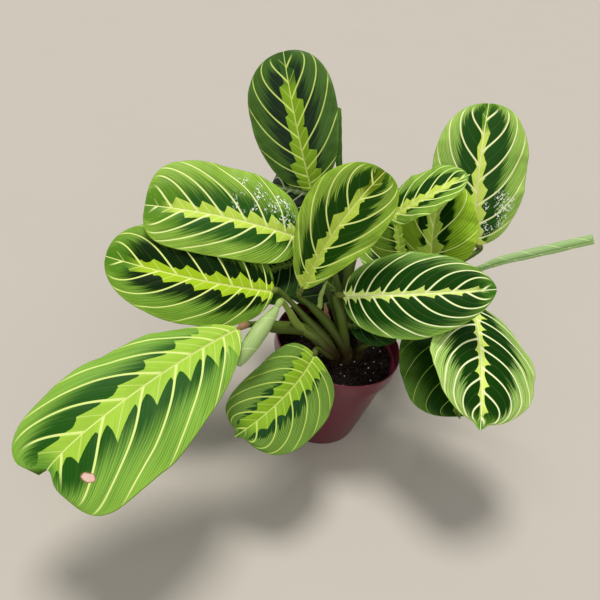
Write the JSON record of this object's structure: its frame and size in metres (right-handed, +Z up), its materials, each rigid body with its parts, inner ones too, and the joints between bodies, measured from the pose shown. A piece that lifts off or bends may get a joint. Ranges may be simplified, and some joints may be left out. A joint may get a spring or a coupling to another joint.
{
  "type": "potted prayer plant",
  "caption": "Prayer plant with broad patterned oval leaves on arching stalks and young leaves still rolled, growing from soil in a round tapered nursery pot with a deep rim.",
  "frame": {"origin": "centre of the pot's underside, on the surface that the pot stands on", "axes": "+Z up along the pot's axis, -Y towards the front from which the plant is seen, +X to its right"},
  "size_m": [0.3474, 0.359, 0.2722],
  "materials": {
    "pot_plastic": "burgundy moulded plastic, glossy on the rim and scuffed on the wall",
    "potting_soil": "near-black moist peat with bark crumbs and white perlite, rough and without gloss",
    "leaf_stalk": "olive green stalk, reddish brown where the sheath wraps it, slightly waxy",
    "leaf_blade": "satin leaf, dark green blotches between curved pale veins and a toothed lime band along the midrib",
    "young_leaf": "pale green young leaf, rolled lengthwise, with a soft waxy sheen"
  },
  "bodies": {
    "root": {"pot": "pot_plastic", "soil": "potting_soil", "shoot_front": "leaf_stalk", "shoot_centre": "leaf_stalk", "shoot_right": "leaf_stalk", "shoot_back": "leaf_stalk", "leaf_front_left": "leaf_blade", "leaf_front_low": "leaf_blade", "leaf_left_low": "leaf_blade", "leaf_centre": "leaf_blade", "leaf_right_centre": "leaf_blade", "leaf_right_inner": "leaf_blade", "leaf_right_low": "leaf_blade", "leaf_right_front": "leaf_blade", "leaf_back_right": "leaf_blade", "leaf_left_high": "leaf_blade", "leaf_back_tall": "leaf_blade", "leaf_right_high": "leaf_blade", "leaf_right_back": "leaf_blade", "leaf_back_inner": "leaf_blade", "leaf_back_left": "leaf_blade", "leaf_left_inner": "leaf_blade", "leaf_rear_right": "leaf_blade", "leaf_rear_left": "leaf_blade", "rolled_leaf_left": "young_leaf", "rolled_leaf_right": "young_leaf", "rolled_leaf_back": "young_leaf"}
  },
  "joints": []
}
